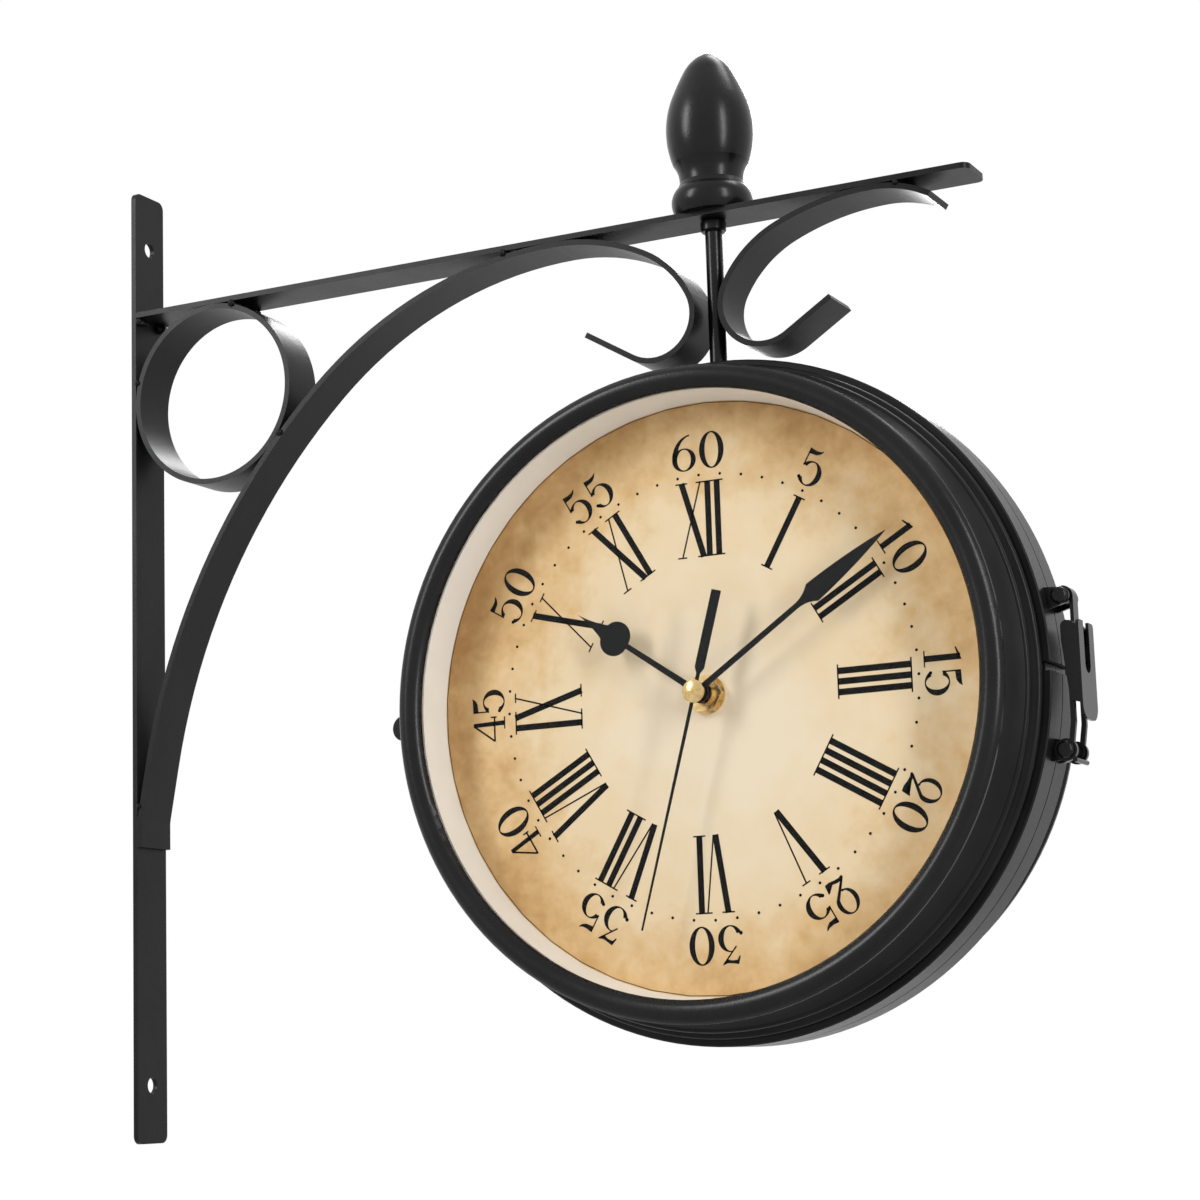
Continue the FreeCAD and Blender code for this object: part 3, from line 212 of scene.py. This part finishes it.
def bare_metal(name, dark, light, rough, stretch=(1, 1, 1)):
    """Metal with fine brushing and slight tarnish."""
    finish = Finish(name, Metallic=1.0)
    brush = finish.noise(size=0.0006, detail=3, roughness=0.6, stretch=stretch)
    tarnish = finish.noise(size=0.004, detail=4, roughness=0.6)
    finish.colour(tarnish, [(0.35, dark), (0.62, light)])
    finish.gloss(brush, rough)
    finish.bump(brush, GRAIN_DEPTH / 2, strength=0.7)
    return finish.material


def grained(name, dark, light, rough, grain=0.0005):
    """Moulded plastic or thick pale paint, with a fine grain."""
    finish = Finish(name, Specular_IOR_Level=0.4)
    cloud = finish.noise(size=0.01, detail=3)
    speck = finish.noise(grain)
    finish.colour(cloud, [(0.3, dark), (0.7, light)])
    finish.gloss(speck, rough)
    finish.bump(speck, GRAIN_DEPTH, strength=0.8)
    return finish.material


def aged_and_shaded_paper(name):
    """The dial: cream in the middle, blotched tan and brown towards its edge, the brown partly its own aged
    tone and partly painted shade of the bezel.
    """
    finish = Finish(name, Specular_IOR_Level=0.25)
    fibre = finish.noise(size=0.0012, detail=4, roughness=0.7)
    layers = [(finish.noise(size, detail, roughness=0.6), weight) for size, detail, weight in BLOTCHES]
    # How brown the paper is, by its own ageing and by painted shade, growing away from the pale spot, with
    # blotches and fibres on top.
    brown_and_shade = finish.maths("MULTIPLY", finish.from_axis(PALE_SPOT), 1 / BROWN_AND_SHADE_REACH)
    for pattern, weight in [*layers, (fibre, FIBRE_WEIGHT)]:
        swing = finish.maths("SUBTRACT", pattern, 0.5)
        brown_and_shade = finish.maths("ADD", brown_and_shade, finish.maths("MULTIPLY", swing, weight))
    finish.colour(brown_and_shade, PAPER_TONES)
    finish.gloss(fibre, (0.50, 0.72))
    finish.bump(fibre, GRAIN_DEPTH, strength=0.5)
    return finish.material


def clear_glass(name):
    """A thin clear pane that nearly all light passes, with a gloss that faint wipe marks change."""
    finish = Finish(name, Base_Color=(0.02, 0.025, 0.025, 1), Alpha=0.045, Specular_IOR_Level=0.5)
    finish.gloss(finish.noise(size=0.02, detail=4, roughness=0.6, stretch=(1, 1, 2.5)), (0.02, 0.07))
    return finish.material


def ink_and_shadow_line(name):
    """Printed black, a little uneven in tone and gloss; it also colours the painted shadow line at the
    dial's edge.
    """
    finish = Finish(name, Specular_IOR_Level=0.06)
    wash = finish.noise(size=0.003, detail=3)
    finish.colour(wash, [(0.35, (0.002, 0.002, 0.002)), (0.7, (0.009, 0.008, 0.007))])
    finish.gloss(finish.noise(size=0.0008), (0.42, 0.6))
    return finish.material


DEEP_BLACK = (0.003, 0.003, 0.0035)
WORN_BLACK = (0.009, 0.009, 0.0095)

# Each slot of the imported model: how its finish is made, and the settings of that.
RECIPES = {
    "bracket_paint": (paint, {
        "dark": DEEP_BLACK, "light": WORN_BLACK, "rough": (0.30, 0.42), "specular": 0.15}),
    "rod_steel": (paint, {
        "dark": DEEP_BLACK, "light": (0.008, 0.008, 0.009), "rough": (0.20, 0.28), "specular": 0.2}),
    "gloss_black": (paint, {
        "dark": DEEP_BLACK, "light": (0.007, 0.007, 0.008), "rough": (0.22, 0.32), "specular": 0.21,
        "peel_depth": 0.00002}),
    "zinc": (bare_metal, {
        "dark": (0.42, 0.42, 0.41), "light": (0.62, 0.62, 0.61), "rough": (0.28, 0.42)}),
    "case_black": (spun_metal, {
        "dark": DEEP_BLACK, "light": WORN_BLACK, "rough": (0.26, 0.38), "specular": 0.14}),
    "glass": (clear_glass, {}),
    "reflector_white": (grained, {
        "dark": (0.89, 0.86, 0.79), "light": (0.93, 0.90, 0.84), "rough": (0.40, 0.55), "grain": 0.0012}),
    "dial_paper": (aged_and_shaded_paper, {}),
    "movement_plastic": (grained, {
        "dark": (0.012, 0.012, 0.013), "light": (0.022, 0.022, 0.023), "rough": (0.4, 0.6)}),
    "battery_steel": (bare_metal, {
        "dark": (0.36, 0.35, 0.33), "light": (0.55, 0.54, 0.52), "rough": (0.25, 0.4),
        "stretch": (1, 8, 8)}),
    "brass": (bare_metal, {
        "dark": (0.62, 0.41, 0.16), "light": (0.83, 0.62, 0.30), "rough": (0.16, 0.30)}),
    "hand_black": (paint, {
        "dark": (0.003, 0.003, 0.003), "light": (0.008, 0.008, 0.008), "rough": (0.45, 0.6),
        "specular": 0.12}),
    "latch_steel": (paint, {
        "dark": DEEP_BLACK, "light": WORN_BLACK, "rough": (0.18, 0.28), "specular": 0.2}),
}
FINISHES = {slot: make(slot, **settings) for slot, (make, settings) in RECIPES.items()}


def dress_nodes():
    """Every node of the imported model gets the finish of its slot."""
    for part in frame["record"]["subparts"]:
        mesh = NODES[part["node"]].data
        mesh.materials.clear()
        mesh.materials.append(FINISHES[part["material_slot"]])


# Width of the rounding, in millimetres.
ROUNDED_EDGES = {
    "wall_bar": 0.6, "top_bar": 0.6, "bracket_ring": 0.5, "main_brace": 0.5, "end_scroll": 0.5,
    "latch_lever": 0.2, "latch_link": 0.2, "front_hub_nut": 0.25, "rear_hub_nut": 0.25,
}
SHARP_FROM = math.radians(50)


def round_edges():
    """The cut edges of the strips, the latch and the hub nuts catch the light."""
    for name, width in ROUNDED_EDGES.items():
        bevel = NODES[name].modifiers.new("rounded", "BEVEL")
        bevel.width = width * MM
        bevel.segments = 2
        bevel.limit_method = "ANGLE"
        bevel.angle_limit = SHARP_FROM
        bevel.harden_normals = True


# ---------------------------------------------------------------- welds

WELD_GROUP = 6 * MM
WELD_SEED = 7
WELD_VOXEL = 0.25 * MM
LUMPS_A_SIDE = 4
LUMP_PITCH = 1.5 * MM
LUMP_SHIFT = 0.3
LUMP_RADII = (1.0, 1.5)
STRIP_EDGE = 9.0 * MM


def weld_spots():
    """The place of each weld in the X-Z plane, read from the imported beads."""
    groups = []
    for vertex in NODES["weld_beads"].data.vertices:
        spot = Vector((vertex.co.x, vertex.co.z))
        home = next((group for group in groups if (group[0] - spot).length < WELD_GROUP), None)
        if home is None:
            groups.append([spot])
        else:
            home.append(spot)
    spots = []
    for group in groups:
        across, up = [spot.x for spot in group], [spot.y for spot in group]
        spots.append(((min(across) + max(across)) / 2, (min(up) + max(up)) / 2))
    return spots


def lay_welds():
    """Short lumpy welds at both edges of the strips, where the strips meet."""
    chance = random.Random(WELD_SEED)
    mesh = bmesh.new()
    for across, up in weld_spots():
        for side in (-1, 1):
            for lump in range(LUMPS_A_SIDE):
                spot = Vector((across + chance.uniform(-LUMP_SHIFT, LUMP_SHIFT) * MM,
                               side * (STRIP_EDGE - lump * LUMP_PITCH),
                               up + chance.uniform(-LUMP_SHIFT, LUMP_SHIFT) * MM))
                bmesh.ops.create_icosphere(mesh, subdivisions=2, radius=chance.uniform(*LUMP_RADII) * MM,
                                           matrix=Matrix.Translation(spot))
    piece = put_mesh("weld_lumps", mesh, FINISHES["bracket_paint"])
    fused = piece.modifiers.new("fused", "REMESH")
    fused.mode = "VOXEL"
    fused.voxel_size = WELD_VOXEL
    fused.use_smooth_shade = True
    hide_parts("weld_beads")
    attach(piece, "bracket")


# ---------------------------------------------------------------- dial print and painted shadow line

# All of these are in millimetres, and every ring and base is measured from the middle of the dial.
DOT_RING = 74.2
DOT_RADIUS = 0.5
ROMAN_BASE = 46.3
ROMAN_HEIGHT = 25.7
ARABIC_BASE = 76.0
ARABIC_HEIGHT = 12.7
PRINT_LIFT = 0.03
# A thin dark ring just inside the reflector: a painted shadow of the gap between the reflector ring and the
# dial.
SHADOW_LINE_RING = 98.6
SHADOW_LINE_WIDTH = 0.25

# Widths and distances of the Roman letters: strokes, serifs, and the steps between letters.
THICK = 2.15
THIN = 0.55
SERIF = 0.5
THICK_SERIF = 2.2
THIN_SERIF = 1.65
LETTER_LEAN = 7.4
THIN_SHIFT = 0.5
STEM_PITCH = 3.45
LETTER_PITCH = LETTER_LEAN + 2.1
ROMANS = ("I", "II", "III", "IIII", "V", "VI", "VII", "VIII", "IX", "X", "XI", "XII")

BOWL_STEP = 8
BALL_SIDES = 20


def bar(start, end, width):
    """A straight stroke between two points."""
    along = Vector((end[0] - start[0], end[1] - start[1])).normalized()
    x, y = -along.y * width / 2, along.x * width / 2
    return [(start[0] + x, start[1] + y), (start[0] - x, start[1] - y),
            (end[0] - x, end[1] - y), (end[0] + x, end[1] + y)]


def bowl(centre, radii, thick, thin, start, end):
    """A curved stroke between two ellipses: thick at its sides, thin at its top and foot."""
    steps = max(4, round(abs(end - start) / BOWL_STEP))
    rims = []
    for step in range(steps + 1):
        turn = math.radians(start + (end - start) * step / steps)
        across, up = math.cos(turn), math.sin(turn)
        rims.append((
            (centre[0] + radii[0] * across, centre[1] + radii[1] * up),
            (centre[0] + (radii[0] - thick) * across, centre[1] + (radii[1] - thin) * up)))
    return [[one[0], two[0], two[1], one[1]] for one, two in zip(rims, rims[1:])]


def ball(x, y, radius):
    turns = [math.tau * step / BALL_SIDES for step in range(BALL_SIDES)]
    return [(x + radius * math.cos(turn), y + radius * math.sin(turn)) for turn in turns]


# Digits of height 1: the width, then the strokes.
DIGITS = {
    "0": (0.71, bowl((0.355, 0.5), (0.355, 0.5), 0.16, 0.04, 0, 360)),
    "1": (0.46, [
        bar((0.25, 0), (0.25, 0.97), 0.16), bar((0.04, 0.018), (0.46, 0.018), 0.036),
        [(0.0, 0.865), (0.01, 0.83), (0.18, 0.885), (0.33, 0.92), (0.33, 1.0), (0.17, 0.945)]]),
    "2": (0.66, [
        *bowl((0.31, 0.66), (0.31, 0.34), 0.12, 0.035, -95, -385), ball(0.29, 0.345, 0.035),
        [(0.591, 0.516), (0.482, 0.531), (0.10, 0.07), (0.165, 0.05)],
        [(0.09, 0.045), (0.17, 0.115), (0.30, 0.125), (0.45, 0.090), (0.55, 0.085), (0.60, 0.12),
         (0.625, 0.245), (0.66, 0.24), (0.635, 0.0), (0.50, -0.015), (0.36, 0.015), (0.22, 0.03),
         (0.12, 0.0)]]),
    "3": (0.72, [
        *bowl((0.37, 0.345), (0.345, 0.345), 0.155, 0.035, 100, -155), ball(0.072, 0.21, 0.05),
        bar((0.21, 0.54), (0.585, 1.0), 0.042),
        [(0.61, 1.02), (0.45, 0.965), (0.33, 0.975), (0.155, 1.0), (0.10, 0.79), (0.137, 0.785),
         (0.19, 0.885), (0.33, 0.90), (0.46, 0.865), (0.55, 0.94)]]),
    "4": (0.68, [
        [(0.43, 0.0), (0.56, 0.0), (0.53, 0.97), (0.42, 0.97)], bar((0.33, 0.018), (0.66, 0.018), 0.036),
        bar((0.0, 0.325), (0.67, 0.325), 0.05), bar((0.665, 0.26), (0.665, 0.44), 0.042),
        bar((0.455, 0.955), (0.02, 0.335), 0.05)]),
    "5": (0.64, [
        *bowl((0.30, 0.335), (0.335, 0.335), 0.15, 0.035, 150, -150), ball(0.052, 0.165, 0.048),
        bar((0.045, 0.48), (0.045, 0.95), 0.038),
        [(0.026, 0.97), (0.20, 0.945), (0.33, 0.955), (0.41, 1.0), (0.43, 0.985), (0.37, 0.90),
         (0.27, 0.835), (0.05, 0.815)]]),
    "6": (0.69, [
        *bowl((0.344, 0.313), (0.344, 0.313), 0.145, 0.035, 0, 360),
        *bowl((0.565, 0.345), (0.565, 0.64), 0.146, 0.035, 97, 186), ball(0.495, 0.96, 0.027)]),
}
DIGIT_GAP = 0.10


def number(text):
    """The width and strokes of a number, in millimetres."""
    strokes, spot = [], 0.0
    for digit in text:
        width, shapes = DIGITS[digit]
        for shape in shapes:
            strokes.append([((spot + x) * ARABIC_HEIGHT, y * ARABIC_HEIGHT) for x, y in shape])
        spot += width + DIGIT_GAP
    return (spot - DIGIT_GAP) * ARABIC_HEIGHT, strokes


def letter_strokes(letter):
    """Strokes as (foot, top, width), and how far on the next letter stands."""
    if letter == "I":
        return [(0, 0, THICK)], STEM_PITCH
    if letter == "V":
        thick = (LETTER_LEAN / 2, 0, THICK)
        thin = (LETTER_LEAN / 2 + THICK / 3, LETTER_LEAN, THIN)
    else:
        thick = (LETTER_LEAN, 0, THICK)
        thin = (-THIN_SHIFT, LETTER_LEAN - THIN_SHIFT, THIN)
    return [thick, thin], LETTER_PITCH


def roman(text):
    """The width and strokes of a Roman number, in millimetres. Neighbouring serifs run together."""
    strokes, spot = [], THICK_SERIF
    for letter in text:
        pieces, pitch = letter_strokes(letter)
        for foot, top, width in pieces:
            serif = THICK_SERIF if width == THICK else THIN_SERIF
            strokes.append(bar((spot + foot, 0), (spot + top, ROMAN_HEIGHT), width))
            ends = [(top, ROMAN_HEIGHT - SERIF / 2)]
            if letter != "V":
                ends.append((foot, SERIF / 2))
            for x, y in ends:
                strokes.append(bar((spot + x - serif, y), (spot + x + serif, y), SERIF))
        spot += pitch
    return spot - pitch + (THICK_SERIF if text[-1] == "I" else LETTER_LEAN + THIN_SERIF), strokes


def dial_strokes():
    """Every printed shape of a dial, and the painted shadow line at its edge, in millimetres from its
    centre, with x to the right and y up.
    """
    shapes = []
    for minute in range(60):
        turn = math.radians(6 * minute)
        shapes.append(ball(DOT_RING * math.sin(turn), DOT_RING * math.cos(turn), DOT_RADIUS))
    for hour, name in enumerate(ROMANS, start=1):
        sine, cosine = math.sin(math.radians(30 * hour)), math.cos(math.radians(30 * hour))
        for (width, strokes), base in ((roman(name), ROMAN_BASE), (number(str(5 * hour)), ARABIC_BASE)):
            for stroke in strokes:
                shapes.append([((y + base) * sine + (x - width / 2) * cosine,
                                (y + base) * cosine - (x - width / 2) * sine) for x, y in stroke])
    # The painted shadow line at the edge of the paper.
    edge = SHADOW_LINE_RING + SHADOW_LINE_WIDTH
    shapes += bowl((0, 0), (edge, edge), SHADOW_LINE_WIDTH, SHADOW_LINE_WIDTH, 0, 360)
    return shapes


def print_dial_and_shadow_line(side, facing):
    """The printed figures of one dial and the painted shadow line at its edge, a hair above its paper."""
    mesh = bmesh.new()
    for shape in dial_strokes():
        corners = []
        for x, y in shape:
            spot = CENTRE + Vector((x * MM * facing, 0, y * MM))
            spot.y = (DIAL_FACE - PRINT_LIFT * MM) * facing
            corners.append(mesh.verts.new(spot))
        mesh.faces.new(corners)
    bmesh.ops.triangulate(mesh, faces=mesh.faces[:])
    for face in mesh.faces:
        if face.normal.y * facing > 0:
            face.normal_flip()
    piece = put_mesh(f"{side}_dial_print_and_shadow_line", mesh, ink_and_shadow_line(f"{side}_ink"))
    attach(piece, "head")


# ---------------------------------------------------------------- studio

AMBIENT = 0.40
FLOOR_HEIGHT = -0.62
FLOOR_SIZE = 12
FLOOR_COLOUR = (0.7, 0.7, 0.7, 1)
WHITE = (1, 1, 1, 1)
# The glow of the floor rises outwards: from and to this distance, from and to this strength.
FLOOR_GLOW = {"From Min": 0.6, "From Max": 2.8, "To Min": 0.0, "To Max": 0.68}
# Name: place, width, height, power in watts.
SOFTBOXES = {
    "left_softbox": ((-0.75, -1.15, 0.75), 0.35, 0.9, 14.5),
    "right_softbox": ((1.55, -0.75, 0.45), 0.22, 1.2, 14),
    "top_softbox": ((0.45, 0.55, 1.25), 0.9, 0.4, 8),
    "rear_softbox": ((-0.25, 1.35, 0.60), 0.4, 0.9, 12),
}
LIT_SPOT = Vector((0.20, 0, 0.02))


def seen_directly(tree):
    """1 for rays from the camera, off gloss and through glass, 0 for the light that falls on things."""
    path = tree.nodes.new("ShaderNodeLightPath")
    total = path.outputs["Is Camera Ray"]
    for name in ("Is Glossy Ray", "Is Transmission Ray"):
        larger = tree.nodes.new("ShaderNodeMath")
        larger.operation = "MAXIMUM"
        tree.links.new(total, larger.inputs[0])
        tree.links.new(path.outputs[name], larger.inputs[1])
        total = larger.outputs["Value"]
    return total


def make_world():
    """A white surround, which lights the object at a plain level."""
    world = bpy.data.worlds.new("studio")
    world.use_nodes = True
    bpy.context.scene.world = world
    tree = world.node_tree
    background = tree.nodes["Background"]
    background.inputs["Color"].default_value = WHITE
    strength = tree.nodes.new("ShaderNodeMapRange")
    strength.inputs["To Min"].default_value = AMBIENT
    strength.inputs["To Max"].default_value = 1.0
    tree.links.new(seen_directly(tree), strength.inputs["Value"])
    tree.links.new(strength.outputs["Result"], background.inputs["Strength"])


def make_floor():
    """A pale floor that keeps the object's shadow, and is brighter further out by its own glow."""
    finish = Finish("floor", Base_Color=FLOOR_COLOUR, Roughness=0.8, Emission_Color=WHITE)
    reach = finish.node("ShaderNodeVectorMath", {"operation": "LENGTH"}, {0: finish.place})
    rising = finish.node("ShaderNodeMapRange", None, {"Value": reach.outputs["Value"], **FLOOR_GLOW})
    finish.into("Emission Strength",
                finish.maths("MULTIPLY", seen_directly(finish.tree), rising.outputs["Result"]))
    mesh = bmesh.new()
    bmesh.ops.create_grid(mesh, x_segments=1, y_segments=1, size=FLOOR_SIZE)
    floor = put_mesh("floor", mesh, finish.material)
    floor.location = (CENTRE.x, 0, FLOOR_HEIGHT)


def make_lights():
    for name, (place, width, height, power) in SOFTBOXES.items():
        data = bpy.data.lights.new(name, "AREA")
        data.shape = "RECTANGLE"
        data.size = width
        data.size_y = height
        data.energy = power
        lamp = put_object(name, data)
        lamp.location = place
        lamp.rotation_euler = (LIT_SPOT - Vector(place)).to_track_quat("-Z", "Y").to_euler()


# ---------------------------------------------------------------- camera

AZIMUTH = math.radians(26.42)
ELEVATION = math.radians(-9.83)
ROLL = math.radians(-1.83)
DISTANCE = 0.9348
SIDEWAYS = -0.04456
UPWARDS = 0.03408
FOCAL_PIXELS = 2775.95
IMAGE_PIXELS = 1200
SENSOR = 36
CLIP_END = 50


def make_camera():
    """The photograph's viewpoint: below the clock's middle, to the right of its front."""
    back = Vector((math.sin(AZIMUTH) * math.cos(ELEVATION), -math.cos(AZIMUTH) * math.cos(ELEVATION),
                   math.sin(ELEVATION)))
    level = Vector((math.cos(AZIMUTH), math.sin(AZIMUTH), 0))
    upright = back.cross(level)
    right = math.cos(ROLL) * level + math.sin(ROLL) * upright
    above = math.cos(ROLL) * upright - math.sin(ROLL) * level
    data = bpy.data.cameras.new("camera")
    data.sensor_width = SENSOR
    data.lens = SENSOR * FOCAL_PIXELS / IMAGE_PIXELS
    data.clip_end = CLIP_END
    camera = put_object("camera", data)
    place = CENTRE + back * DISTANCE + right * SIDEWAYS + above * UPWARDS
    camera.matrix_world = Matrix((
        (right.x, above.x, back.x, place.x), (right.y, above.y, back.y, place.y),
        (right.z, above.z, back.z, place.z), (0, 0, 0, 1)))
    bpy.context.scene.camera = camera


dress_nodes()
round_edges()
lay_welds()
for side, facing in SIDES.items():
    print_dial_and_shadow_line(side, facing)
make_world()
make_floor()
make_lights()
make_camera()
bpy.context.scene.view_settings.view_transform = "Standard"
